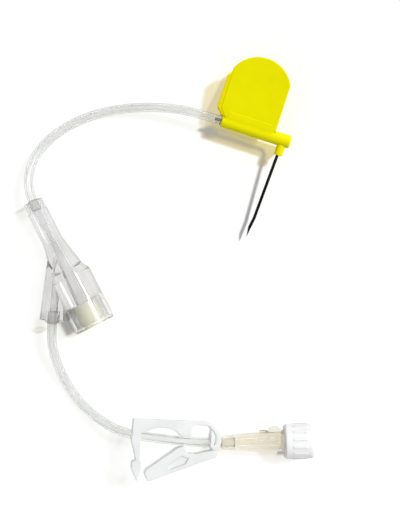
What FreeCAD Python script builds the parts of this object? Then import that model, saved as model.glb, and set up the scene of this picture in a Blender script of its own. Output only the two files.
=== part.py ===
"""Winged right-angle needle set for an implanted port, lying on a table.

A yellow barrel with two folding wings holds a steel cannula with a deflected point.
Soft tubing leads from it to a clear Y site with a rubber injection port, then on through
a pinch clamp to a six percent taper connector closed by a white cap.

Millimetres. +Z up, the table at z = 0, the origin under the middle of the set without its
tubing. Each piece is drawn in a frame of its own assembly and then laid in its place.
"""

import FreeCAD
import Part
import math
import os
from FreeCAD import Placement, Rotation, Vector

# Clearances
BOND_GAP = 0.03      # between two pieces glued or pressed together
RUN_GAP = 0.05       # between a piece and what it turns or slides in
TUBE_GAP = 0.05      # between the tubing and the wall of its socket
TUBE_HOLE_GAP = 0.7  # between the tubing and the holes of the clamp

# Tubing
TUBE_OD = 2.1
TUBE_ID = 1.2
ARC_SHARE = 0.45     # share of the shorter run that each bend takes up
UPPER_LEAD = 4.2     # straight out of the barrel before the upper tubing bends
SITE_LEAD = 1.59     # and before it enters the Y site
LOWER_LEAD = 1.8     # straight out of the branch before the lower tubing bends

# Barrel of the needle
BARREL_OD = 3.0
BARREL_LENGTH = 16.3
BARREL_HEIGHT = 5.0  # of its axis over the table
BARREL_ROLL = 7.5    # degrees that the cannula dips towards the table
BARREL_HEADING = -17.8
BARREL_PLACE = (11.87, 33.63)
BARREL_TUBE_SOCKET = 2.0
BARREL_NOSE_ROUND = 0.45
BARREL_TAIL_ROUND = 0.25
STUB_INSET = 1.8     # of the stub's axis from the far end of the barrel
STUB_AT = BARREL_LENGTH - STUB_INSET
STUB_OD = 2.0
STUB_REACH = 3.6     # from the barrel's axis to the end of the stub
STUB_ROUND = 0.2
WELL_OD = 1.4        # adhesive well in the end of the stub
WELL_DEPTH = 0.8

# Cannula, 22 gauge
CANNULA_OD = 0.7
CANNULA_ID = 0.42
CANNULA_TAIL = 1.6   # how far it stands out into the tubing
CANNULA_ELBOW = 1.3
CANNULA_LEAN = 2.2   # degrees that the cannula leans back from square, towards the tubing
CANNULA_STRAIGHT = 15.3
CANNULA_POINT = 4.7
CANNULA_DEFLECTION = 6.5
CANNULA_POINT_BEND = 4.0
CANNULA_BEVEL = 16.0

# Wings
WING_WIDTH = 13.4
WING_SIDE = 12.1     # from the barrel's axis to where the crown starts
LOWER_WING_SIDE = 11.0
WING_CROWN = 4.2
WING_THICKNESS = 0.9
WING_START = -1.05   # from the tubing end of the barrel
WING_STAGGER = 0.9   # how much nearer the tubing the lower wing stands
WING_HINGE_UP = 1.45
WING_HINGE_SIDE = 1.05
WING_CORNER = 1.2    # bevel at the root, on the tubing side
WING_EDGE_ROUND = 0.2
UPPER_WING_SPREAD = 5.0

# Y site
SITE_PLACE = (-31.0, 15.23)
SITE_HEADING = -63.2
SITE_LENGTH = 31.4
LEG_OD = 4.7
LEG_CHANNEL = 0.9
LEG_ENTRY = (1.5, 6.4)  # bore behind the tubing, and where it ends
LEG_CHAMBER = (1.3, 2.6, 10.4)  # bore that widens to the septum, and where it starts
LEG_STRAIGHT = 10.0
COLLAR_OD = 4.4
COLLAR_LENGTH = 2.1
COLLAR_GROOVE = 0.3
COLLAR_GROOVE_DEPTH = 0.25
FLARE_OD = 7.5
FLARE_END = 17.2
PORT_OD = 9.6
PORT_START = 19.0
SITE_TUBE_SOCKET = 2.2
BRANCH_FROM = 12.8
BRANCH_ANGLE = -31.8
BRANCH_ROOT_OD = 4.4
BRANCH_OD = 5.8
BRANCH_LENGTH = 15.5
BRANCH_TUBE_SOCKET = 2.6
BRANCH_BEAD_OD = 3.3
BRANCH_BEAD = 0.5
BRANCH_CHANNEL = 0.8
BRANCH_ENTRY = (1.5, 4.8)  # wider bore, and where it starts from the main leg's axis
WEB_THICKNESS = 2.6

# Injection port
RING_START = 25.4
RING_LIP = 0.8
RING_EDGE = 0.3
RING_WALL = 0.8      # wall of the ring with the gap to the spigot
SPIGOT_OD = PORT_OD - 2 * RING_WALL
SEPTUM_OD = 5.4
SEPTUM_LENGTH = 4.9
SEPTUM_NOSE_OD = 4.6
SEPTUM_DIMPLE_OD = 2.6
SEPTUM_DIMPLE = 0.15

# Taper connector and its cap
CONNECTOR_PLACE = (11.91, -39.45)
CONNECTOR_HEADING = 1.2
CONNECTOR_TAIL_OD = 3.1
CONNECTOR_WAIST = 8.3
CONNECTOR_WAIST_OD = 4.3
CONNECTOR_NECK_OD = 4.5
CONNECTOR_TUBE_SOCKET = 3.0
CONNECTOR_CHANNEL = 1.4
MOUTH_START = 14.2
MOUTH_OD = 6.0
MOUTH_BORE = 4.3
TAPER = 0.06         # change of diameter per length
TAPER_DEPTH = 7.5
LUG_OD = 6.8
LUG_WIDTH = 2.4
LUG_LENGTH = 1.2
FIN_START = 8.5
FIN_LENGTH = 2.0
FIN_REACH = 2.65
FIN_ROUND = 0.45
EAR_AT = 12.1
EAR_LENGTH = 3.2
EAR_REACH = 3.45
EAR_ROUND = 1.4
EAR_THICKNESS = 1.4
CAP_START = 13.8
CAP_OD = 8.2
CAP_LENGTH = 7.3
CAP_BORE = 7.0
CAP_WALL_END = 1.1
CAP_NOSE_ROUND = 1.0
CAP_RIM_BEVEL = 0.7
CAP_RIBS = 14
CAP_RIB_HEIGHT = 0.15
CAP_RIB_WIDTH = 0.6
CAP_RIB_START = 2.2
CAP_RIB_LENGTH = 3.2
CAP_CONE_LENGTH = 5.5

# Pinch clamp: x along the tubing from the post, y towards the base bar
CLAMP_PLACE = (-7.31, -37.57, 5.62)
CLAMP_HEADING = -6.5
CLAMP_PITCH = -5.4
CLAMP_ROLL = -6.0
CLAMP_WIDTH = 5.5
POST_OUTER = -1.3    # outer face of the post beside the tubing
POST_INNER = 0.75
POST_NECK = (0.1, 1.1, -5.35)  # outer face, inner face and height of the narrow neck
CATCH = (1.5, -5.75) # corner that the closed arm rests on
CATCH_END = -7.3
CATCH_STEP = 0.2     # how far under the catch the post is full width again
POST_HEEL = -0.65
POST_TIP = (0.8, -9.9)
BAR_LEFT_TOP = 3.7
BAR_RIGHT_TOP = 4.7
ARCH = ((1.3, 0.7), (5.4, 2.35), (9.4, 1.25))
JAW_TIP = 1.05
WINDOW = ((12.0, 16.45), 3.7)
WINDOW_ROUND = 1.0
LOOP_CENTRE = (15.1, 0.9)
LOOP_OD = 7.6
LOOP_END = -50.0     # degrees, where the loop meets the arm
HOLE_OVERRUN = 0.8   # of the tubing holes past the walls that they pierce
LOOP_GROOVE = (1.9, 2.6, 0.8)  # inner and outer radius and depth of the groove in its face
LOOP_GROOVE_ENDS = (-30.0, 60.0)
PIVOT = (17.4, -2.4)
PIVOT_OD = 1.8
ARM_TIP = (2.4, -8.24)
ARM_BROW = (2.65, -7.3)
ARM_HEEL = (3.3, -9.9)
ARM_SHOULDER = (9.3, -1.75)
TOOTH_FLAT = (10.1, 10.9)
TOOTH_TIP = -1.45
ARM_NOTCH = ((11.6, -2.7), (13.2, -2.8))
ARM_EDGE_ROUND = 0.3
ARM_POCKET = ((7.4, -5.9), (10.3, -3.5), (11.9, -3.9), (11.3, -5.2), (8.1, -6.7))
ARM_POCKET_DEPTH = 0.8


def frame(x, y, z, heading, pitch=0.0, roll=0.0):
    """A place on the table: its x axis turned to the heading, then raised, then rolled."""
    return Placement(Vector(x, y, z), Rotation(heading, -pitch, roll))


def within(outer, x, y, z, heading=0.0, pitch=0.0, roll=0.0):
    """A frame given in the axes of another frame."""
    return outer.multiply(frame(x, y, z, heading, pitch, roll))


def point_in(place, x, y=0.0, z=0.0):
    return place.multVec(Vector(x, y, z))


def lay(shape, place):
    """The shape moved from its own frame to its place on the table."""
    return shape.transformed(place.toMatrix(), True)


def rod(radius, start, end):
    start, end = Vector(*start), Vector(*end)
    return Part.makeCylinder(radius, (end - start).Length, start, end - start)


def turned(profile):
    """A solid of revolution about x from (x, radius) points."""
    points = [Vector(x, r, 0) for x, r in profile]
    face = Part.Face(Part.makePolygon(points + points[:1]))
    return face.revolve(Vector(0, 0, 0), Vector(1, 0, 0), 360)


def plate(outline, bottom, top):
    """A prism of an outline in x and y."""
    points = [Vector(x, y, bottom) for x, y in outline]
    face = Part.Face(Part.makePolygon(points + points[:1]))
    return face.extrude(Vector(0, 0, top - bottom))


def box(low, high):
    low, high = Vector(*low), Vector(*high)
    size = high - low
    return Part.makeBox(size.x, size.y, size.z, low)


def rounded(shape, radius, wanted):
    """The shape with the edges that pass the test rounded."""
    edges = [e for e in shape.Edges if wanted(e)]
    return shape.makeFillet(radius, edges)


def upright(edge):
    """Whether an edge stands along z in its own frame."""
    size = edge.BoundBox
    return size.ZLength > size.XLength + size.YLength


def circle_at(x, radius):
    """A test for a circular edge of a turned solid."""
    def wanted(edge):
        curve = edge.Curve
        same = isinstance(curve, Part.Circle) and abs(curve.Radius - radius) < 1e-6
        return same and abs(curve.Center.x - x) < 1e-6
    return wanted


def route_radii(points):
    """Radius of each arc of a route, so that it takes up its share of the shorter run."""
    radii = []
    for before, corner, after in zip(points, points[1:], points[2:]):
        back, ahead = before - corner, after - corner
        half_turn = (math.pi - back.getAngle(ahead)) / 2
        radii.append(ARC_SHARE * min(back.Length, ahead.Length) / math.tan(half_turn))
    return radii


def bent_wire(points, radii):
    """Straight runs joined by tangent arcs of the given radii."""
    edges, start = [], points[0]
    for before, corner, after, radius in zip(points, points[1:], points[2:], radii):
        back = (before - corner).normalize()
        ahead = (after - corner).normalize()
        half_turn = (math.pi - back.getAngle(ahead)) / 2
        reach = radius * math.tan(half_turn)
        enter, leave = corner + back * reach, corner + ahead * reach
        inward = (back + ahead).normalize()
        crest = corner + inward * (radius / math.cos(half_turn) - radius)
        edges.append(Part.LineSegment(start, enter).toShape())
        edges.append(Part.Arc(enter, crest, leave).toShape())
        start = leave
    edges.append(Part.LineSegment(start, points[-1]).toShape())
    return Part.Wire(edges)


def pipe(wire, radius):
    """A solid round bar along a wire."""
    first = wire.Edges[0]
    start = first.valueAt(first.FirstParameter)
    tangent = first.tangentAt(first.FirstParameter)
    ring = Part.Wire(Part.makeCircle(radius, start, tangent))
    return wire.makePipeShell([ring], True, False)


def tubing(name, points):
    """A length of tubing along a route, with its volume compared with its section."""
    radii = route_radii(points)
    wire = bent_wire(points, radii)
    solid = pipe(wire, TUBE_OD / 2).cut(pipe(wire, TUBE_ID / 2))
    section = math.pi * (TUBE_OD ** 2 - TUBE_ID ** 2) / 4
    share = solid.Volume / (section * wire.Length)
    print(name, "length", round(wire.Length, 2), "volume share", round(share, 4))
    print(name, "radii", [round(r, 1) for r in radii])
    return solid


BARREL = frame(*BARREL_PLACE, BARREL_HEIGHT, BARREL_HEADING, roll=BARREL_ROLL)
SITE = frame(*SITE_PLACE, PORT_OD / 2, SITE_HEADING)
BRANCH = within(SITE, BRANCH_FROM, 0, 0, BRANCH_ANGLE)
CONNECTOR = frame(*CONNECTOR_PLACE, CAP_OD / 2, CONNECTOR_HEADING)
CLAMP = frame(*CLAMP_PLACE, CLAMP_HEADING, CLAMP_PITCH, CLAMP_ROLL)

LOWER_WING_LENGTH = LOWER_WING_SIDE + WING_CROWN - WING_HINGE_UP
SOCKET_RADIUS = TUBE_OD / 2 + TUBE_GAP
BRANCH_END = BRANCH_LENGTH + BRANCH_BEAD


def lower_wing_spread():
    """Degrees from the folded plane at which the tip of the lower wing meets the table."""
    roll = math.radians(BARREL_ROLL)
    hinge = BARREL_HEIGHT + WING_HINGE_UP * math.sin(roll) - WING_HINGE_SIDE * math.cos(roll)
    half = WING_THICKNESS / 2
    reach = math.hypot(LOWER_WING_LENGTH, half)
    below = math.asin(hinge / reach) - math.atan(half / LOWER_WING_LENGTH)
    return math.degrees(below) + BARREL_ROLL


UPPER_HINGE = within(BARREL, WING_START, WING_HINGE_UP, WING_HINGE_SIDE, roll=UPPER_WING_SPREAD)
LOWER_HINGE = within(
    BARREL, WING_START - WING_STAGGER, WING_HINGE_UP, -WING_HINGE_SIDE, roll=-lower_wing_spread()
)


def cannula_wire(tail):
    """The cannula's centre line in the barrel's frame from its tail in the tubing, and its tip."""
    lean = math.radians(CANNULA_LEAN)
    aside = math.radians(CANNULA_LEAN + CANNULA_DEFLECTION)
    down = Vector(-math.sin(lean), -math.cos(lean), 0)
    elbow = Vector(STUB_AT, 0, 0)
    knee = elbow + down * (STUB_REACH + CANNULA_STRAIGHT)
    tip = knee + Vector(-math.sin(aside), -math.cos(aside), 0) * CANNULA_POINT
    wire = bent_wire([Vector(tail, 0, 0), elbow, knee, tip], [CANNULA_ELBOW, CANNULA_POINT_BEND])
    return wire, tip


def needle_cannula():
    """Bent steel tube whose ground point is turned aside, so that it does not core."""
    wire, tip = cannula_wire(-CANNULA_TAIL)
    tube = pipe(wire, CANNULA_OD / 2).cut(pipe(wire, CANNULA_ID / 2))
    along = -90 - CANNULA_LEAN - CANNULA_DEFLECTION
    heel = point_in(frame(tip.x, tip.y, 0, along), 0, CANNULA_OD / 2)
    # The cutting plane runs back from the outer wall at the tip across the tube
    knife = frame(heel.x, heel.y, 0, along + CANNULA_BEVEL)
    reach = CANNULA_POINT + CANNULA_OD
    block = lay(box((-reach, -reach, -CANNULA_OD), (reach, 0, CANNULA_OD)), knife)
    return lay(tube.cut(block), BARREL)


def cannula_bond():
    """Ring of adhesive in the well round the cannula, at the end of the stub."""
    top = -(STUB_REACH - WELL_DEPTH)
    ring = rod(WELL_OD / 2 - BOND_GAP, (STUB_AT, -STUB_REACH, 0), (STUB_AT, top, 0))
    wire, _ = cannula_wire(0.0)
    return lay(ring.cut(pipe(wire, CANNULA_OD / 2 + BOND_GAP)), BARREL)


def needle_barrel():
    """Barrel and stub with the passage for the cannula and the socket for the tubing."""
    radius = BARREL_OD / 2
    body = rod(radius, (0, 0, 0), (BARREL_LENGTH, 0, 0))
    body = rounded(body, BARREL_TAIL_ROUND, circle_at(0, radius))
    body = rounded(body, BARREL_NOSE_ROUND, circle_at(BARREL_LENGTH, radius))
    stub = rod(STUB_OD / 2, (STUB_AT, 0, 0), (STUB_AT, -STUB_REACH, 0))
    end = [e for e in stub.Edges if abs(e.BoundBox.YMin + STUB_REACH) < 1e-6 and e.BoundBox.YLength < 1e-6]
    body = body.fuse(stub.makeFillet(STUB_ROUND, end))
    wire, _ = cannula_wire(0.0)
    body = body.cut(pipe(wire, CANNULA_OD / 2 + BOND_GAP))
    body = body.cut(rod(SOCKET_RADIUS, (0, 0, 0), (BARREL_TUBE_SOCKET, 0, 0)))
    well_top = -(STUB_REACH - WELL_DEPTH)
    body = body.cut(rod(WELL_OD / 2, (STUB_AT, -STUB_REACH, 0), (STUB_AT, well_top, 0)))
    groove = WING_THICKNESS / 2 + RUN_GAP
    for start, side in ((WING_START, 1), (WING_START - WING_STAGGER, -1)):
        low = (start - RUN_GAP, WING_HINGE_UP, side * WING_HINGE_SIDE)
        high = (start + WING_WIDTH + RUN_GAP, WING_HINGE_UP, side * WING_HINGE_SIDE)
        body = body.cut(rod(groove, low, high))
    return lay(body, BARREL)


def wing(hinge, crown_start):
    """A tongue-shaped wing from the bead of its living hinge to its round crown."""
    half = WING_THICKNESS / 2
    side = crown_start - WING_HINGE_UP
    middle = WING_WIDTH / 2
    corners = [
        Vector(WING_CORNER, 0, -half),
        Vector(WING_WIDTH, 0, -half),
        Vector(WING_WIDTH, side, -half),
        Vector(0, side, -half),
        Vector(0, WING_CORNER, -half),
    ]
    crown = Part.Arc(corners[2], Vector(middle, side + WING_CROWN, -half), corners[3]).toShape()
    lines = [(0, 1), (1, 2), (3, 4), (4, 0)]
    straight = [Part.LineSegment(corners[a], corners[b]).toShape() for a, b in lines]
    outline = Part.Wire(Part.__sortEdges__(straight + [crown]))
    tongue = Part.Face(outline).extrude(Vector(0, 0, WING_THICKNESS))
    tongue = rounded(tongue, WING_EDGE_ROUND, lambda e: e.BoundBox.ZLength < 1e-6 and e.BoundBox.YMax > half)
    bead = rod(half, (WING_CORNER, 0, 0), (WING_WIDTH, 0, 0))
    return lay(tongue.fuse(bead), hinge)


def site_web():
    """Gusset between the branch and the port, ending level with the branch."""
    end = BRANCH.multVec(Vector(BRANCH_LENGTH, 0, 0))
    end = SITE.inverse().multVec(end)
    # A level line from the branch end meets the flank of the port here
    slope = math.tan(math.radians(90 + SITE_HEADING))
    flank = -PORT_OD / 2 - BOND_GAP
    level = end.x + (flank - end.y) * slope
    outline = [(BRANCH_FROM, 0), (end.x, end.y), (level, flank), (RING_START, flank), (RING_START, 0)]
    return plate(outline, -WEB_THICKNESS / 2, WEB_THICKNESS / 2)


def y_body():
    """Clear moulding: tubing collar, main leg flaring to the port, branch and web."""
    leg, collar, flare, port = LEG_OD / 2, COLLAR_OD / 2, FLARE_OD / 2, PORT_OD / 2
    groove = collar - COLLAR_GROOVE_DEPTH
    groove_end = COLLAR_LENGTH + COLLAR_GROOVE
    septum_end = SITE_LENGTH - RING_LIP
    body = turned([
        (0, 0), (0, collar), (COLLAR_LENGTH, collar), (COLLAR_LENGTH, groove), (groove_end, groove),
        (groove_end, leg), (LEG_STRAIGHT, leg), (FLARE_END, flare), (PORT_START, port),
        (RING_START, port), (RING_START, SPIGOT_OD / 2), (septum_end, SPIGOT_OD / 2), (septum_end, 0),
    ])
    branch = turned([(0, 0), (0, BRANCH_ROOT_OD / 2), (BRANCH_LENGTH, BRANCH_OD / 2), (BRANCH_LENGTH, 0)])
    branch = branch.fuse(rod(BRANCH_BEAD_OD / 2, (0, 0, 0), (BRANCH_END, 0, 0)))
    turn = frame(BRANCH_FROM, 0, 0, BRANCH_ANGLE)
    ring_room = rod(port + BOND_GAP, (RING_START, 0, 0), (SITE_LENGTH, 0, 0))
    body = body.fuse(lay(branch, turn).cut(ring_room)).fuse(site_web().cut(ring_room))
    septum_start = septum_end - SEPTUM_LENGTH
    body = body.cut(rod(SOCKET_RADIUS, (0, 0, 0), (SITE_TUBE_SOCKET, 0, 0)))
    entry_bore, entry_end = LEG_ENTRY
    narrow_bore, wide_bore, chamber = LEG_CHAMBER
    body = body.cut(turned([
        (0, 0), (0, entry_bore / 2), (entry_end, entry_bore / 2), (entry_end, LEG_CHANNEL / 2),
        (chamber, LEG_CHANNEL / 2), (chamber, narrow_bore / 2), (septum_start, wide_bore / 2),
        (septum_start, 0),
    ]))
    body = body.cut(rod(SEPTUM_OD / 2 + BOND_GAP, (septum_start, 0, 0), (SITE_LENGTH, 0, 0)))
    seat = BRANCH_END - BRANCH_TUBE_SOCKET
    bores = rod(SOCKET_RADIUS, (seat, 0, 0), (BRANCH_END, 0, 0))
    wide_bore, wide_from = BRANCH_ENTRY
    bores = bores.fuse(rod(wide_bore / 2, (wide_from, 0, 0), (seat, 0, 0)))
    bores = bores.fuse(rod(BRANCH_CHANNEL / 2, (0, 0, 0), (wide_from, 0, 0)))
    return lay(body.cut(lay(bores, turn)).removeSplitter(), SITE)


def port_ring():
    """Clear ring over the spigot of the port, whose lip holds the septum in."""
    radius, lip = PORT_OD / 2, SITE_LENGTH - RING_LIP
    bore, hole = SPIGOT_OD / 2 + BOND_GAP, SEPTUM_NOSE_OD / 2 + BOND_GAP
    ring = turned([
        (RING_START, bore), (RING_START, radius), (SITE_LENGTH - RING_EDGE, radius),
        (SITE_LENGTH, radius - RING_EDGE), (SITE_LENGTH, hole), (lip, hole), (lip, bore),
    ])
    return lay(ring, SITE)


def port_septum():
    """Rubber plug held by the lip of the ring, with a shallow target dimple."""
    lip = SITE_LENGTH - RING_LIP
    start = lip - SEPTUM_LENGTH
    plug = turned([
        (start, 0), (start, SEPTUM_OD / 2), (lip, SEPTUM_OD / 2), (lip, SEPTUM_NOSE_OD / 2),
        (SITE_LENGTH, SEPTUM_NOSE_OD / 2), (SITE_LENGTH, SEPTUM_DIMPLE_OD / 2),
        (SITE_LENGTH - SEPTUM_DIMPLE, 0),
    ])
    return lay(plug, SITE)


def taper_radius(x, mouth, clearance=0.0):
    """Radius of the six percent taper at x, for a mouth at the given place."""
    return (MOUTH_BORE - TAPER * (mouth - x)) / 2 - clearance


CAP_FLOOR = CAP_START + CAP_LENGTH - CAP_WALL_END
MOUTH_END = CAP_FLOOR - RUN_GAP


def taper_connector():
    """Connector moulding: tubing socket, body with fin and ear, mouth with two lugs."""
    tail, waist, neck = CONNECTOR_TAIL_OD / 2, CONNECTOR_WAIST_OD / 2, CONNECTOR_NECK_OD / 2
    neck_end = MOUTH_START - (MOUTH_OD - CONNECTOR_NECK_OD) / 2
    body = turned([
        (0, 0), (0, tail), (CONNECTOR_WAIST, waist), (neck_end, neck),
        (MOUTH_START, MOUTH_OD / 2), (MOUTH_END, MOUTH_OD / 2), (MOUTH_END, 0),
    ])
    fin = box((FIN_START, 0, -EAR_THICKNESS / 2), (FIN_START + FIN_LENGTH, FIN_REACH, EAR_THICKNESS / 2))
    fin = rounded(fin, FIN_ROUND, lambda e: abs(e.BoundBox.YMin - FIN_REACH) < 1e-6)
    ear_start = EAR_AT - EAR_LENGTH / 2
    ear = box((ear_start, 0, -EAR_THICKNESS / 2), (ear_start + EAR_LENGTH, EAR_REACH, EAR_THICKNESS / 2))
    ear = rounded(ear, EAR_ROUND, lambda e: upright(e) and abs(e.BoundBox.YMin - EAR_REACH) < 1e-6)
    body = body.fuse(fin).fuse(ear)
    lugs = rod(LUG_OD / 2, (MOUTH_END - LUG_LENGTH, 0, 0), (MOUTH_END, 0, 0))
    half = LUG_WIDTH / 2
    lugs = lugs.common(box((MOUTH_END - LUG_LENGTH, -LUG_OD, -half), (MOUTH_END, LUG_OD, half)))
    body = body.fuse(lugs)
    taper_end = MOUTH_END - TAPER_DEPTH
    body = body.cut(rod(SOCKET_RADIUS, (0, 0, 0), (CONNECTOR_TUBE_SOCKET, 0, 0)))
    body = body.cut(rod(CONNECTOR_CHANNEL / 2, (0, 0, 0), (MOUTH_END, 0, 0)))
    body = body.cut(turned([
        (taper_end, 0), (taper_end, taper_radius(taper_end, MOUTH_END)),
        (MOUTH_END, taper_radius(MOUTH_END, MOUTH_END)), (MOUTH_END, 0),
    ]))
    return lay(body.removeSplitter(), CONNECTOR)


def connector_cap():
    """White closing cap: ribbed skirt, end wall and a cone that seals in the taper."""
    outer, bore = CAP_OD / 2 - CAP_RIB_HEIGHT, CAP_BORE / 2
    end = CAP_START + CAP_LENGTH
    shell = turned([
        (CAP_START, 0), (CAP_START, outer - CAP_RIM_BEVEL), (CAP_START + CAP_RIM_BEVEL, outer),
        (end, outer), (end, 0),
    ])
    shell = rounded(shell, CAP_NOSE_ROUND, circle_at(end, outer))
    rib = box(
        (CAP_START + CAP_RIB_START, outer - CAP_RIB_HEIGHT, -CAP_RIB_WIDTH / 2),
        (CAP_START + CAP_RIB_START + CAP_RIB_LENGTH, CAP_OD / 2, CAP_RIB_WIDTH / 2),
    )
    for n in range(CAP_RIBS):
        shell = shell.fuse(lay(rib, frame(0, 0, 0, 0, roll=360 * n / CAP_RIBS)))
    shell = shell.cut(rod(bore, (CAP_START, 0, 0), (CAP_FLOOR, 0, 0)))
    cone_tip = CAP_FLOOR - CAP_CONE_LENGTH
    cone = turned([
        (cone_tip, 0), (cone_tip, taper_radius(cone_tip, MOUTH_END, RUN_GAP)),
        (CAP_FLOOR, taper_radius(CAP_FLOOR, MOUTH_END, RUN_GAP)), (CAP_FLOOR, 0),
    ])
    return lay(shell.fuse(cone), CONNECTOR)


def tube_hole(x_from, x_to):
    return rod(TUBE_OD / 2 + TUBE_HOLE_GAP, (x_from, 0, 0), (x_to, 0, 0))


def clamp_prism(outline):
    return plate(outline, -CLAMP_WIDTH / 2, CLAMP_WIDTH / 2)


def arc_cylinder(start, middle, end):
    """A cylinder across the clamp whose side passes through three points."""
    circle = Part.Arc(Vector(*start), Vector(*middle), Vector(*end)).toShape().Curve
    centre = circle.Center - Vector(0, 0, CLAMP_WIDTH / 2)
    return Part.makeCylinder(circle.Radius, CLAMP_WIDTH, centre)


def across(radius, centre):
    """A round bar across the clamp."""
    return Part.makeCylinder(radius, CLAMP_WIDTH, Vector(*centre, -CLAMP_WIDTH / 2))


def loop_groove():
    """Shallow curved groove in the face of the hinge loop."""
    inner, outer, depth = LOOP_GROOVE
    first, last = (math.radians(a) for a in LOOP_GROOVE_ENDS)
    middle = (first + last) / 2
    x, y = LOOP_CENTRE
    floor = CLAMP_WIDTH / 2 - depth

    def on(radius, angle):
        return Vector(x + radius * math.cos(angle), y + radius * math.sin(angle), floor)

    edges = [
        Part.Arc(on(outer, first), on(outer, middle), on(outer, last)).toShape(),
        Part.LineSegment(on(outer, last), on(inner, last)).toShape(),
        Part.Arc(on(inner, last), on(inner, middle), on(inner, first)).toShape(),
        Part.LineSegment(on(inner, first), on(outer, first)).toShape(),
    ]
    return Part.Face(Part.Wire(edges)).extrude(Vector(0, 0, depth))


def clamp_frame():
    """Fixed half of the pinch clamp: post with its catch, arched bar, jaw and hinge loop."""
    loop_x, loop_y = LOOP_CENTRE
    neck_outer, neck_inner, neck_y = POST_NECK
    (window_left, window_right), window_top = WINDOW
    post = clamp_prism([
        (POST_OUTER, BAR_LEFT_TOP), (POST_INNER, BAR_LEFT_TOP), (POST_INNER, 0), (neck_inner, neck_y),
        CATCH, (CATCH[0], CATCH_END), POST_TIP, (POST_HEEL, CATCH_END), (POST_HEEL, CATCH[1] - CATCH_STEP),
        (neck_outer, neck_y), (POST_OUTER, -TUBE_OD / 2),
    ])
    bar = clamp_prism([
        (POST_OUTER, BAR_LEFT_TOP), (loop_x, BAR_RIGHT_TOP), (loop_x, JAW_TIP), (ARCH[2][0], JAW_TIP),
        (ARCH[2][0], ARCH[0][1]), (POST_OUTER, ARCH[0][1]),
    ])
    body = bar.fuse(across(LOOP_OD / 2, LOOP_CENTRE))
    window = clamp_prism([
        (window_left, -LOOP_OD), (window_left, window_top), (window_right, window_top),
        (window_right, -LOOP_OD),
    ])
    window = rounded(window, WINDOW_ROUND, lambda e: upright(e) and e.BoundBox.YMax > 0)
    end = math.radians(LOOP_END)
    below = clamp_prism([
        (loop_x, loop_y), (window_left, loop_y), (window_left, JAW_TIP), (loop_x - LOOP_OD, JAW_TIP),
        (loop_x - LOOP_OD, -LOOP_OD), (loop_x, -LOOP_OD),
        (loop_x + LOOP_OD * math.cos(end), loop_y + LOOP_OD * math.sin(end)),
    ])
    arch = arc_cylinder(*ARCH).common(clamp_prism([
        (ARCH[0][0], 0), (ARCH[0][0], BAR_LEFT_TOP), (ARCH[2][0], BAR_LEFT_TOP), (ARCH[2][0], 0),
    ]))
    body = body.cut(window).cut(below).cut(arch).fuse(post).removeSplitter()
    body = body.cut(tube_hole(POST_OUTER, ARCH[0][0] + HOLE_OVERRUN))
    body = body.cut(tube_hole(window_right - HOLE_OVERRUN, loop_x + LOOP_OD))
    groove = loop_groove()
    body = body.cut(groove).cut(groove.translated(Vector(0, 0, LOOP_GROOVE[2] - CLAMP_WIDTH)))
    return lay(body.cut(across(PIVOT_OD / 2 + RUN_GAP, PIVOT)), CLAMP)


def clamp_arm():
    """Moving half of the clamp: a wedge with a pinching tooth, turning on its hinge bead."""
    pivot_x, pivot_y = PIVOT
    half, bead = CLAMP_WIDTH / 2, PIVOT_OD / 2
    body = clamp_prism([
        ARM_TIP, ARM_BROW, ARM_SHOULDER, (TOOTH_FLAT[0], TOOTH_TIP), (TOOTH_FLAT[1], TOOTH_TIP), *ARM_NOTCH,
        (pivot_x, pivot_y + bead), (pivot_x, pivot_y - bead), ARM_HEEL,
    ])
    body = rounded(body, ARM_EDGE_ROUND, lambda e: upright(e) and e.BoundBox.XMax < ARM_SHOULDER[0] / 2)
    body = body.fuse(across(bead, PIVOT))
    pocket = plate(ARM_POCKET, half - ARM_POCKET_DEPTH, half)
    body = body.cut(pocket).cut(pocket.translated(Vector(0, 0, ARM_POCKET_DEPTH - CLAMP_WIDTH)))
    return lay(body, CLAMP)


# Routes of the tubing. Their ends lie in the sockets; the points between were chosen by
# hand, so that the set lies in an open bow and the tubing dips to the table between fittings.
UPPER_ROUTE = [
    point_in(BARREL, BARREL_TUBE_SOCKET),
    point_in(BARREL, -UPPER_LEAD),
    Vector(1.69, 36.38, 4.5),
    Vector(-4.47, 36.91, 3.5),
    Vector(-10.47, 36.69, 2.4),
    Vector(-16.26, 35.70, 1.5),
    Vector(-21.47, 33.91, 1.07),
    Vector(-26.03, 31.15, 1.3),
    Vector(-29.40, 27.82, 2.4),
    Vector(-31.47, 24.14, 3.5),
    Vector(-32.14, 20.39, 4.4),
    point_in(SITE, -SITE_LEAD),
    point_in(SITE, SITE_TUBE_SOCKET),
]
LOWER_ROUTE = [
    point_in(BRANCH, BRANCH_END - BRANCH_TUBE_SOCKET),
    point_in(BRANCH, BRANCH_END + LOWER_LEAD),
    Vector(-26.67, -18.06, 4.2),
    Vector(-25.07, -23.31, 2.7),
    Vector(-22.69, -28.13, 1.3),
    Vector(-19.12, -32.22, 2.0),
    Vector(-14.58, -35.30, 3.9),
    Vector(-9.60, -37.30, 5.95),
    Vector(1.47, -38.86, 4.75),
    Vector(8.50, -39.52, 4.1),
    point_in(CONNECTOR, CONNECTOR_TUBE_SOCKET),
]

PARTS = {
    "needle_barrel": needle_barrel(),
    "needle_cannula": needle_cannula(),
    "cannula_bond": cannula_bond(),
    "upper_wing": wing(UPPER_HINGE, WING_SIDE),
    "lower_wing": wing(LOWER_HINGE, LOWER_WING_SIDE),
    "upper_tubing": tubing("upper_tubing", UPPER_ROUTE),
    "y_body": y_body(),
    "port_ring": port_ring(),
    "port_septum": port_septum(),
    "lower_tubing": tubing("lower_tubing", LOWER_ROUTE),
    "clamp_frame": clamp_frame(),
    "clamp_arm": clamp_arm(),
    "taper_connector": taper_connector(),
    "connector_cap": connector_cap(),
}

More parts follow.
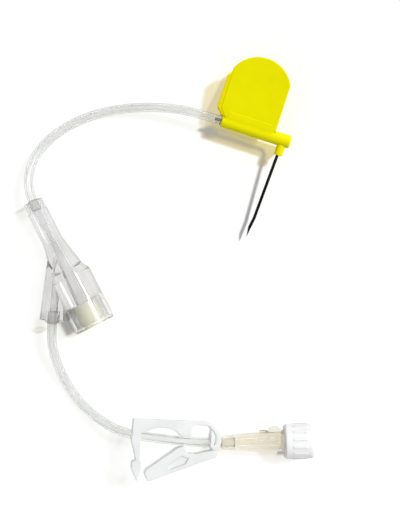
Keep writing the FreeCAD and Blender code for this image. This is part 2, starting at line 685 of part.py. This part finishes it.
os.makedirs("parts", exist_ok=True)
for node, solid in PARTS.items():
    solid.exportStep(os.path.join("parts", node + ".step"))
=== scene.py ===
"""Looks of the winged port needle set: materials, tubing, webs, adhesive, table, light and camera.

Lengths are in metres, except where a comment says millimetres.
"""

import math

import bmesh
import bpy
from mathutils import Matrix, Vector


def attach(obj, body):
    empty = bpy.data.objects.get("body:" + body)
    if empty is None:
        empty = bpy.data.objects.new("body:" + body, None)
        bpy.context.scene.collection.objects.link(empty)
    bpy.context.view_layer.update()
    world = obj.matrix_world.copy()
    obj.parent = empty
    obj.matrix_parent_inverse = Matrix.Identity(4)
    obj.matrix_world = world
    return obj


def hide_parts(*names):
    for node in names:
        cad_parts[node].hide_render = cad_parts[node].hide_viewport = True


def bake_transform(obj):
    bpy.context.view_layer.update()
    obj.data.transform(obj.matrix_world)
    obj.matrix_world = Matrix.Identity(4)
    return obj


MM = 0.001

# Photograph, taken from straight above, in pixels
PHOTO_WIDTH = 400
PHOTO_HEIGHT = 518
PHOTO_ORIGIN = (169.6, 269.0)  # where the frame's origin falls
PIXELS_PER_MM = 4.4

# Camera, with its lens and sensor in millimetres
SUBJECT_HEIGHT = 4.1 * MM      # of the connector's axis, where the scale above holds
LENS = 85.0
SENSOR = 36.0

# Tubing, as in the part, with its routes in millimetres
TUBE_OD = 2.1 * MM
TUBE_ID = 1.2 * MM
TUBE_SIDES = 48
LINE_STEPS = 10      # of the smooth line, for each span of a route
UPPER_ROUTE = [
    (13.7743, 33.0186, 5.0),
    (7.8711, 34.9139, 5.0),
    (1.69, 36.38, 4.5),
    (-4.47, 36.91, 3.5),
    (-10.47, 36.69, 2.4),
    (-16.26, 35.70, 1.5),
    (-21.47, 33.91, 1.07),
    (-26.03, 31.15, 1.3),
    (-29.40, 27.82, 2.4),
    (-31.47, 24.14, 3.5),
    (-32.14, 20.39, 4.4),
    (-31.7169, 16.6492, 4.8),
    (-30.0081, 13.2663, 4.8),
]
LOWER_ROUTE = [
    (-26.3967, -9.5441, 4.8),
    (-26.7801, -13.9274, 4.8),
    (-26.67, -18.06, 4.2),
    (-25.07, -23.31, 2.7),
    (-22.69, -28.13, 1.3),
    (-19.12, -32.22, 2.0),
    (-14.58, -35.30, 3.9),
    (-9.60, -37.30, 5.95),
    (1.47, -38.86, 4.75),
    (8.50, -39.52, 4.1),
    (14.9093, -39.3872, 4.1),
]

# Fittings, as in the part, in millimetres and degrees: place, heading and roll
BARREL = (11.87, 33.63, 5.0, -17.8, 7.5)
SITE = (-31.0, 15.23, 4.8, -63.2, 0.0)
BRANCH = (-25.2289, 3.8052, 4.8, -95.0, 0.0)
CONNECTOR = (11.91, -39.45, 4.1, 1.2, 0.0)
BRANCH_END = 16.0
BARREL_RADIUS = 1.5
BARREL_TAIL = 0.3            # along the barrel, just past its rounded end, where a web can start
WING_HINGE = (1.45, 1.05)    # beside and over the barrel's axis
WING_ROOT = (1.25, 13.3)     # along the root of a wing

# Wings: body, start along the barrel, side of the hinge and degrees that the wing stands open
UPPER_WING = ("upper_wing", -1.05, 1, 5.0)
LOWER_WING = ("lower_wing", -1.95, -1, 23.175)

# Web over a wing's hinge, in millimetres, each row with its skin and its core
WEB_ON_BARREL = [  # degrees round the barrel from its top, then heights over its face
    (6, -0.02, -0.1), (14, 0.02, -0.1), (26, 0.06, -0.15),
]
WEB_ON_WING = [    # distance out from the hinge, then heights over it
    (-0.3, 0.5, 0.2), (0.1, 0.49, 0.2), (0.5, 0.47, 0.35), (0.9, 0.457, 0.38), (1.3, 0.446, 0.38),
]
WEB_STEPS = 40
WEB_RISE = 0.9           # length over which the web rises from its core to its skin
WEB_LEAD = 0.05          # length by which that rise has begun at its ends

# Ring of adhesive round the tubing, in millimetres
GLUE_SIDES = 32
GLUE_HEIGHT = 0.32   # at the fitting
GLUE_BACK = -0.04    # start, just inside the fitting
GLUE_LENGTH = 0.34
GLUE_EDGE = 0.01     # height at the thin end
GLUE_SINK = 0.02     # depth below the tubing's face
GLUE_FLANK = [       # distance from the fitting and share of the height
    (GLUE_BACK, 1.0), (0.03, 0.6), (0.1, 0.3), (0.22, 0.1),
]
GLUE_RINGS = [       # name, fitting, place along it and the way that the ring points
    ("barrel_glue", BARREL, 0.0, -1),
    ("collar_glue", SITE, 0.0, -1),
    ("branch_glue", BRANCH, BRANCH_END, 1),
    ("connector_glue", CONNECTOR, 0.0, -1),
]

# Textures, each with its lumps per metre and its detail
BLOTCH = (160.0, 3.0)    # moulded plastic: colour
DULLING = (420.0, 3.0)   # and gloss
GRAIN = (900.0, 5.0)     # and relief
CLOUD = (120.0, 3.0)     # clear plastic: colour
WAVE = (90.0, 1.0)       # and relief
STREAK = (900.0, 4.0)    # steel: colour
POLISH = (700.0, 3.0)    # and gloss
MOTTLE = (30.0, 3.0)     # table: colour

# Materials
NOISE_RANGE = (0.3, 0.7)          # that the noise mostly keeps to
GRAIN_RELIEF = (0.35, 0.01 * MM)  # strength and depth
WAVE_RELIEF = (0.2, 0.002 * MM)
EDGE_SAMPLES = 6
COAT = 0.3                        # of the clear plastics, for their highlights
# A clear wall's rim colour is painted edge shade, in part for its longer path through the wall.
WALL_RANGE = (0.4, 0.92)          # of facing away, over which a clear wall takes its rim's colour
STREAK_RANGE = (0.35, 0.7)
STREAK_STRETCH = (1.0, 0.15, 1.0)
STEEL_ROUGH = (0.2, 0.34)

# Sockets of a colour mix, whose names stand for several sockets each
MIX_FACTOR = 0
MIX_FIRST = 6
MIX_SECOND = 7
MIX_RESULT = 2

# Light, with angles in degrees: the key stands to the upper right of the photograph
KEY_FROM = (0.88, 0.47)
KEY_ELEVATION = 50.0
KEY_ANGLE = 6.0
KEY_STRENGTH = 2.75
SKY = [  # height, then red and green, then blue
    (0.0, 0.20, 0.20), (0.3, 0.34, 0.345), (0.75, 0.49, 0.495),
]

# Table
FLOOR_SIZE = 4.0
FLOOR_DEPTH = 0.02 * MM  # below the set


def colour(red, green, blue):
    """Linear colour of an sRGB one given in 0 to 255."""
    def linear(value):
        share = value / 255
        return share / 12.92 if share <= 0.04045 else ((share + 0.055) / 1.055) ** 2.4
    return (linear(red), linear(green), linear(blue), 1.0)


def new_material(name):
    """An empty node material, its nodes and the links to add to."""
    made = bpy.data.materials.new(name)
    made.use_nodes = True
    made.node_tree.nodes.clear()
    return made, made.node_tree.nodes, made.node_tree.links


def noise(nodes, links, texture, stretch=(1.0, 1.0, 1.0)):
    """Noise in the object's own coordinates, with its lumps per metre and its detail."""
    scale, detail = texture
    place = nodes.new("ShaderNodeTexCoord")
    mapping = nodes.new("ShaderNodeMapping")
    mapping.inputs["Scale"].default_value = stretch
    made = nodes.new("ShaderNodeTexNoise")
    made.inputs["Scale"].default_value = scale
    made.inputs["Detail"].default_value = detail
    links.new(place.outputs["Object"], mapping.inputs["Vector"])
    links.new(mapping.outputs["Vector"], made.inputs["Vector"])
    return made.outputs["Fac"]


def ramp(nodes, links, source, stops):
    """A colour ramp over a value, from (position, colour) stops."""
    made = nodes.new("ShaderNodeValToRGB")
    points = made.color_ramp.elements
    while len(points) < len(stops):
        points.new(0.5)
    for point, (position, shade) in zip(points, stops):
        point.position = position
        point.color = shade
    links.new(source, made.inputs["Fac"])
    return made.outputs["Color"]


def two_tone(nodes, links, source, first, second, limits=NOISE_RANGE):
    """A colour that goes from one to another as a value goes between its limits."""
    return ramp(nodes, links, source, list(zip(limits, (first, second))))


def uneven(nodes, links, texture, low, high):
    """A value that wanders between two limits over the surface."""
    noise_low, noise_high = NOISE_RANGE
    spread = nodes.new("ShaderNodeMapRange")
    spread.inputs["From Min"].default_value = noise_low
    spread.inputs["From Max"].default_value = noise_high
    spread.inputs["To Min"].default_value = low
    spread.inputs["To Max"].default_value = high
    links.new(noise(nodes, links, texture), spread.inputs["Value"])
    return spread.outputs["Result"]


def bump(nodes, links, source, strength, distance, edge=0.0):
    """A fine relief, over edges that look rounded by the given radius."""
    made = nodes.new("ShaderNodeBump")
    if edge:
        soft = nodes.new("ShaderNodeBevel")
        soft.samples = EDGE_SAMPLES
        soft.inputs["Radius"].default_value = edge
        links.new(soft.outputs["Normal"], made.inputs["Normal"])
    made.inputs["Strength"].default_value = strength
    made.inputs["Distance"].default_value = distance
    links.new(source, made.inputs["Height"])
    return made.outputs["Normal"]


def output(nodes, links, shader):
    """Joins a shader to the material's output."""
    out = nodes.new("ShaderNodeOutputMaterial")
    links.new(shader, out.inputs["Surface"])


def lit_through(nodes, links, shader, shade, clear_wall=False):
    """A shader that lets light through to what it shades, in a colour for each wall it crosses.

    A clear wall also lets through, unbent, what the surroundings throw onto matt surfaces.
    """
    passing = nodes.new("ShaderNodeBsdfTransparent")
    passing.inputs["Color"].default_value = shade
    rays = nodes.new("ShaderNodeLightPath")
    passes = rays.outputs["Is Shadow Ray"]
    if clear_wall:
        either = nodes.new("ShaderNodeMath")
        either.operation = "MAXIMUM"
        links.new(passes, either.inputs[0])
        links.new(rays.outputs["Is Diffuse Ray"], either.inputs[1])
        passes = either.outputs["Value"]
    mix = nodes.new("ShaderNodeMixShader")
    links.new(passes, mix.inputs["Fac"])
    links.new(shader, mix.inputs[1])
    links.new(passing.outputs["BSDF"], mix.inputs[2])
    return mix.outputs["Shader"]


def moulded(name, dark, light, shade, rough, gloss=0.5, edge=0.15, scatter=0.0, reach=1.0):
    """Moulded plastic or rubber: mottled colour, uneven gloss, a fine grain and soft edges."""
    made, nodes, links = new_material(name)
    shader = nodes.new("ShaderNodeBsdfPrincipled")
    blotch = noise(nodes, links, BLOTCH)
    links.new(two_tone(nodes, links, blotch, dark, light), shader.inputs["Base Color"])
    links.new(uneven(nodes, links, DULLING, *rough), shader.inputs["Roughness"])
    grain = noise(nodes, links, GRAIN)
    relief = bump(nodes, links, grain, *GRAIN_RELIEF, edge * MM)
    links.new(relief, shader.inputs["Normal"])
    shader.inputs["Specular IOR Level"].default_value = gloss
    shader.inputs["Subsurface Weight"].default_value = scatter
    shader.inputs["Subsurface Radius"].default_value = (reach * MM, reach * MM, reach * MM)
    shader.inputs["Subsurface Scale"].default_value = 1.0
    output(nodes, links, lit_through(nodes, links, shader.outputs["BSDF"], shade))
    return made


def clear(name, dark, light, rim_shade, shade, index=1.46, gloss=0.04, haze=0.0):
    """Clear plastic that bends what is seen through it, greyer where its wall is seen edge on:
    painted edge shade, in part for the longer path through the wall.
    """
    made, nodes, links = new_material(name)
    shader = nodes.new("ShaderNodeBsdfPrincipled")
    cloud = noise(nodes, links, CLOUD)
    body = two_tone(nodes, links, cloud, dark, light)
    # Painted edge shade: the wall darkens toward its rim colour where it is seen edge on.
    edge_on = nodes.new("ShaderNodeLayerWeight")
    edge_on.inputs["Blend"].default_value = 0.5
    wall = two_tone(nodes, links, edge_on.outputs["Facing"], colour(255, 255, 255), rim_shade, WALL_RANGE)
    tint = nodes.new("ShaderNodeMix")
    tint.data_type = "RGBA"
    tint.blend_type = "MULTIPLY"
    tint.inputs[MIX_FACTOR].default_value = 1.0
    links.new(body, tint.inputs[MIX_FIRST])
    links.new(wall, tint.inputs[MIX_SECOND])
    links.new(tint.outputs[MIX_RESULT], shader.inputs["Base Color"])
    shader.inputs["Transmission Weight"].default_value = 1 - haze
    shader.inputs["IOR"].default_value = index
    shader.inputs["Roughness"].default_value = 0.0
    shader.inputs["Coat Weight"].default_value = COAT
    shader.inputs["Coat Roughness"].default_value = gloss
    wave = noise(nodes, links, WAVE)
    relief = bump(nodes, links, wave, *WAVE_RELIEF)
    links.new(relief, shader.inputs["Normal"])
    output(nodes, links, lit_through(nodes, links, shader.outputs["BSDF"], shade, clear_wall=True))
    return made


def steel(name, dark, light):
    """Drawn stainless tube, with faint lines and uneven polish."""
    made, nodes, links = new_material(name)
    shader = nodes.new("ShaderNodeBsdfPrincipled")
    shader.inputs["Metallic"].default_value = 1.0
    streak = noise(nodes, links, STREAK, STREAK_STRETCH)
    tone = two_tone(nodes, links, streak, dark, light, STREAK_RANGE)
    links.new(tone, shader.inputs["Base Color"])
    links.new(uneven(nodes, links, POLISH, *STEEL_ROUGH), shader.inputs["Roughness"])
    output(nodes, links, shader.outputs["BSDF"])
    return made


def table_top(name):
    """Pale matt table with the faintest mottle."""
    made, nodes, links = new_material(name)
    shader = nodes.new("ShaderNodeBsdfPrincipled")
    shader.inputs["Roughness"].default_value = 0.9
    shader.inputs["Specular IOR Level"].default_value = 0.1
    mottle = noise(nodes, links, MOTTLE)
    tone = two_tone(nodes, links, mottle, colour(246, 246, 245), colour(250, 250, 250))
    links.new(tone, shader.inputs["Base Color"])
    output(nodes, links, shader.outputs["BSDF"])
    return made


def dress(node, material):
    """Gives a CAD node its material."""
    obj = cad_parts[node]
    obj.data.materials.clear()
    obj.data.materials.append(material)


def line_of(points, name):
    """The points along a smooth spline with the route as its control points."""
    curve = bpy.data.curves.new(name, "CURVE")
    curve.dimensions = "3D"
    curve.resolution_u = LINE_STEPS
    spline = curve.splines.new("NURBS")
    spline.points.add(len(points) - 1)
    for control, (x, y, z) in zip(spline.points, points):
        control.co = (x * MM, y * MM, z * MM, 1.0)
    spline.order_u = 3
    spline.use_endpoint_u = True
    carrier = bpy.data.objects.new(name, curve)
    mesh = bpy.data.meshes.new_from_object(carrier)
    line = [v.co.copy() for v in mesh.vertices]
    bpy.data.objects.remove(carrier)
    bpy.data.meshes.remove(mesh)
    return line


def tangents(line):
    """The direction of the line at each of its points."""
    ahead = line[1:] + line[-1:]
    behind = line[:1] + line[:-1]
    return [(b - a).normalized() for a, b in zip(behind, ahead)]


def turns(sides):
    """Angles of equal steps round a circle."""
    return [2 * math.pi * n / sides for n in range(sides)]


def rings(line, radius, sides):
    """Rings of vertices square to the line, without twist."""
    side = tangents(line)[0].orthogonal().normalized()
    made = []
    for point, along in zip(line, tangents(line)):
        side = (side - along * side.dot(along)).normalized()
        up = along.cross(side)
        made.append([
            point + radius * (math.cos(t) * side + math.sin(t) * up) for t in turns(sides)
        ])
    return made


def wall_faces(start, count, sides, inward):
    """Faces between successive rings of vertices."""
    faces = []
    for ring in range(count - 1):
        for n in range(sides):
            low, after = start + ring * sides, (n + 1) % sides
            face = (low + n, low + after, low + sides + after, low + sides + n)
            faces.append(face[::-1] if inward else face)
    return faces


def new_object(name, verts, faces, material):
    """A mesh object in the scene, with one material."""
    mesh = bpy.data.meshes.new(name)
    mesh.from_pydata(verts, [], faces)
    mesh.materials.append(material)
    made = bpy.data.objects.new(name, mesh)
    bpy.context.collection.objects.link(made)
    return made


def closed_object(name, verts, faces, material):
    """A smooth closed skin whose faces all look outwards."""
    made = new_object(name, verts, faces, material)
    skin = bmesh.new()
    skin.from_mesh(made.data)
    bmesh.ops.recalc_face_normals(skin, faces=skin.faces)
    skin.to_mesh(made.data)
    skin.free()
    made.data.shade_smooth()
    return made


def tube(name, points, material, node, body):
    """Hollow tubing along a route, in place of its CAD node."""
    line = line_of(points, name + "_line")
    outer = rings(line, TUBE_OD / 2, TUBE_SIDES)
    inner = rings(line, TUBE_ID / 2, TUBE_SIDES)
    verts = [v for ring in outer + inner for v in ring]
    half, last = len(line) * TUBE_SIDES, (len(line) - 1) * TUBE_SIDES
    faces = wall_faces(0, len(line), TUBE_SIDES, False)
    faces += wall_faces(half, len(line), TUBE_SIDES, True)
    for n in range(TUBE_SIDES):
        after = (n + 1) % TUBE_SIDES
        faces.append((n, half + n, half + after, after))
        faces.append((last + n, last + after, half + last + after, half + last + n))
    obj = new_object(name, verts, faces, material)
    obj.data.shade_smooth()
    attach(obj, body)
    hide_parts(node)


def placed(x, y, z, heading, roll):
    """The frame of a piece of the part, in metres."""
    aim = Matrix.Rotation(math.radians(heading), 4, "Z")
    lean = Matrix.Rotation(math.radians(roll), 4, "X")
    return Matrix.Translation(Vector((x, y, z)) * MM) @ (aim @ lean)


def skinned(name, sections, place, material):
    """A closed skin over a row of sections with the same number of points, in millimetres."""
    count, rows = len(sections[0]), len(sections)
    verts = [place @ (Vector(v) * MM) for section in sections for v in section]
    faces = wall_faces(0, rows, count, False)
    faces += [tuple(range(count))[::-1], tuple((rows - 1) * count + n for n in range(count))]
    return closed_object(name, verts, faces, material)


def web_outlines(side, spread):
    """Outlines of a web's skin and core across the hinge, from the barrel to the wing."""
    hinge_y, hinge_z = WING_HINGE
    lean = math.radians(spread)

    def on_barrel(angle, height):
        turn, radius = math.radians(angle), BARREL_RADIUS + height
        return (radius * math.sin(turn), side * radius * math.cos(turn))

    def on_wing(out, height):
        y = hinge_y + out * math.cos(lean) - height * math.sin(lean)
        z = hinge_z + out * math.sin(lean) + height * math.cos(lean)
        return (y, side * z)

    skin = [on_barrel(angle, high) for angle, high, _ in WEB_ON_BARREL]
    skin += [on_wing(out, high) for out, high, _ in WEB_ON_WING]
    core = [on_barrel(angle, low) for angle, _, low in WEB_ON_BARREL]
    core += [on_wing(out, low) for out, _, low in WEB_ON_WING]
    return skin, core


def hinge_web(body, start, side, spread, material):
    """Thin web of a living hinge, from the back of the barrel over the root of a wing."""
    skin, core = web_outlines(side, spread)
    first, last = (start + x for x in WING_ROOT)
    first = max(first, BARREL_TAIL)
    sections = []
    for n in range(WEB_STEPS + 1):
        x = first + (last - first) * n / WEB_STEPS
        full = min(1.0, (min(x - first, last - x) + WEB_LEAD) / WEB_RISE) ** 0.5
        lifted = [
            (low_y + (high_y - low_y) * full, low_z + (high_z - low_z) * full)
            for (low_y, low_z), (high_y, high_z) in zip(core, skin)
        ]
        sections.append([(x, y, z) for y, z in lifted + core[::-1]])
    place = placed(*BARREL)
    made = skinned(body + "_web", sections, place, material)
    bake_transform(made)


def bead_of_glue(name, place, at, away, material):
    """Ring of adhesive with a hollow flank, where the tubing enters a fitting."""
    face = TUBE_OD / MM / 2
    profile = [(x, face + share * GLUE_HEIGHT) for x, share in GLUE_FLANK]
    profile += [(GLUE_LENGTH, face + GLUE_EDGE)]
    profile += [(GLUE_LENGTH, face - GLUE_SINK), (GLUE_BACK, face - GLUE_SINK)]
    count = len(profile)
    verts = [
        place @ (Vector((at + away * x, r * math.cos(t), r * math.sin(t))) * MM)
        for t in turns(GLUE_SIDES) for x, r in profile
    ]
    faces = []
    for ring in range(GLUE_SIDES):
        low, high = ring * count, (ring + 1) % GLUE_SIDES * count
        for n in range(count):
            after = (n + 1) % count
            faces.append((low + n, low + after, high + after, high + n))
    made = closed_object(name, verts, faces, material)
    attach(made, "set")


def make_floor():
    """The table under the set."""
    half = FLOOR_SIZE / 2
    corners = [(-half, -half, 0), (half, -half, 0), (half, half, 0), (-half, half, 0)]
    floor = new_object("floor", corners, [(0, 1, 2, 3)], table_top("table_top"))
    floor.location.z = -FLOOR_DEPTH


def make_key():
    """A soft key from the upper right."""
    lamp = bpy.data.lights.new("key", "SUN")
    lamp.energy = KEY_STRENGTH
    lamp.angle = math.radians(KEY_ANGLE)
    lamp.cycles.use_multiple_importance_sampling = False
    key = bpy.data.objects.new("key", lamp)
    rise = math.tan(math.radians(KEY_ELEVATION))
    key.rotation_euler = Vector((*KEY_FROM, rise)).to_track_quat("Z", "Y").to_euler()
    bpy.context.collection.objects.link(key)


def make_surround():
    """A pale surround, brighter overhead."""
    world = bpy.data.worlds.new("surround")
    world.use_nodes = True
    nodes, links = world.node_tree.nodes, world.node_tree.links
    nodes.clear()
    place = nodes.new("ShaderNodeTexCoord")
    split = nodes.new("ShaderNodeSeparateXYZ")
    links.new(place.outputs["Generated"], split.inputs["Vector"])
    stops = [(height, (grey, grey, blue, 1.0)) for height, grey, blue in SKY]
    sky = nodes.new("ShaderNodeBackground")
    links.new(ramp(nodes, links, split.outputs["Z"], stops), sky.inputs["Color"])
    out = nodes.new("ShaderNodeOutputWorld")
    links.new(sky.outputs["Background"], out.inputs["Surface"])
    bpy.context.scene.world = world


def make_camera():
    """Straight above, at the height that gives the photograph's scale at the connector's axis."""
    data = bpy.data.cameras.new("camera")
    data.lens = LENS
    data.sensor_width = SENSOR
    camera = bpy.data.objects.new("camera", data)
    tall = PHOTO_HEIGHT / PIXELS_PER_MM * MM
    x = (PHOTO_WIDTH / 2 - PHOTO_ORIGIN[0]) / PIXELS_PER_MM * MM
    y = (PHOTO_ORIGIN[1] - PHOTO_HEIGHT / 2) / PIXELS_PER_MM * MM
    camera.location = (x, y, SUBJECT_HEIGHT + tall * LENS / SENSOR)
    bpy.context.collection.objects.link(camera)
    bpy.context.scene.camera = camera


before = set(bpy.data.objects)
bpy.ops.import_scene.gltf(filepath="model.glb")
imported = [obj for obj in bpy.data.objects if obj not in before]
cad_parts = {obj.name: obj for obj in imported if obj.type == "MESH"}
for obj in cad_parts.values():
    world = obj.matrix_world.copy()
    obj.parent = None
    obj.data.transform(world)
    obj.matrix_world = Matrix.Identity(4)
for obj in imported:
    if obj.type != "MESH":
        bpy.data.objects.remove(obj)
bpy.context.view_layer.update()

yellow_hub = moulded(
    "yellow_hub", colour(228, 220, 0), colour(234, 227, 0), shade=colour(214, 197, 148),
    rough=(0.4, 0.55), gloss=0.06, scatter=0.1,
)
yellow_wing = moulded(
    "yellow_wing", colour(230, 223, 0), colour(236, 230, 0), shade=colour(232, 225, 202),
    rough=(0.45, 0.6), gloss=0.04, scatter=0.1,
)
white_clamp = moulded(
    "white_clamp", colour(217, 219, 218), colour(227, 229, 228), shade=colour(248, 248, 247),
    rough=(0.3, 0.45), edge=0.3, scatter=0.4, reach=1.5,
)
white_cap = moulded(
    "white_cap", colour(236, 238, 237), colour(243, 244, 243), shade=colour(248, 248, 247),
    rough=(0.35, 0.5), edge=0.45, scatter=0.25, reach=1.0,
)
cream_rubber = moulded(
    "cream_rubber", colour(252, 241, 208), colour(255, 247, 222), shade=colour(247, 242, 230),
    rough=(0.5, 0.65), scatter=1.0, reach=4.0,
)
tan_moulding = clear(
    "tan_moulding", colour(245, 241, 229), colour(251, 248, 242), rim_shade=colour(228, 220, 206),
    shade=colour(249, 247, 242), gloss=0.08, haze=0.15,
)
clear_moulding = clear(
    "clear_moulding", colour(220, 219, 218), colour(240, 240, 241), rim_shade=colour(166, 165, 164),
    shade=colour(251, 251, 250), haze=0.08,
)
clear_ring = clear(
    "clear_ring", colour(241, 241, 239), colour(250, 250, 250), rim_shade=colour(195, 194, 192),
    shade=colour(252, 252, 251), haze=0.04,
)
clear_tubing = clear(
    "clear_tubing", colour(236, 237, 236), colour(244, 245, 244), rim_shade=colour(125, 126, 126),
    shade=colour(251, 251, 250), index=1.3, gloss=0.05, haze=0.1,
)
adhesive = clear(
    "clear_adhesive", colour(228, 224, 208), colour(236, 232, 218), rim_shade=colour(190, 186, 172),
    shade=colour(244, 241, 232), gloss=0.08, haze=0.1,
)
# Painted dark reflection: the steel is coloured near black, as a needle mirroring dark surroundings
# looks.
cannula_steel = steel("cannula_steel", colour(20, 20, 20), colour(54, 54, 54))

DRESS = {
    "needle_barrel": yellow_hub,
    "upper_wing": yellow_wing,
    "lower_wing": yellow_wing,
    "needle_cannula": cannula_steel,
    "cannula_bond": adhesive,
    "y_body": clear_moulding,
    "port_ring": clear_ring,
    "port_septum": cream_rubber,
    "clamp_frame": white_clamp,
    "clamp_arm": white_clamp,
    "taper_connector": tan_moulding,
    "connector_cap": white_cap,
}
for node, material in DRESS.items():
    dress(node, material)

tube("upper_tube", UPPER_ROUTE, clear_tubing, "upper_tubing", "set")
tube("lower_tube", LOWER_ROUTE, clear_tubing, "lower_tubing", "set")

hinge_web(*UPPER_WING, yellow_wing)
hinge_web(*LOWER_WING, yellow_wing)
for name, fitting, at, away in GLUE_RINGS:
    bead_of_glue(name, placed(*fitting), at, away, adhesive)

make_floor()
make_key()
make_surround()
make_camera()
bpy.context.scene.view_settings.view_transform = "Standard"
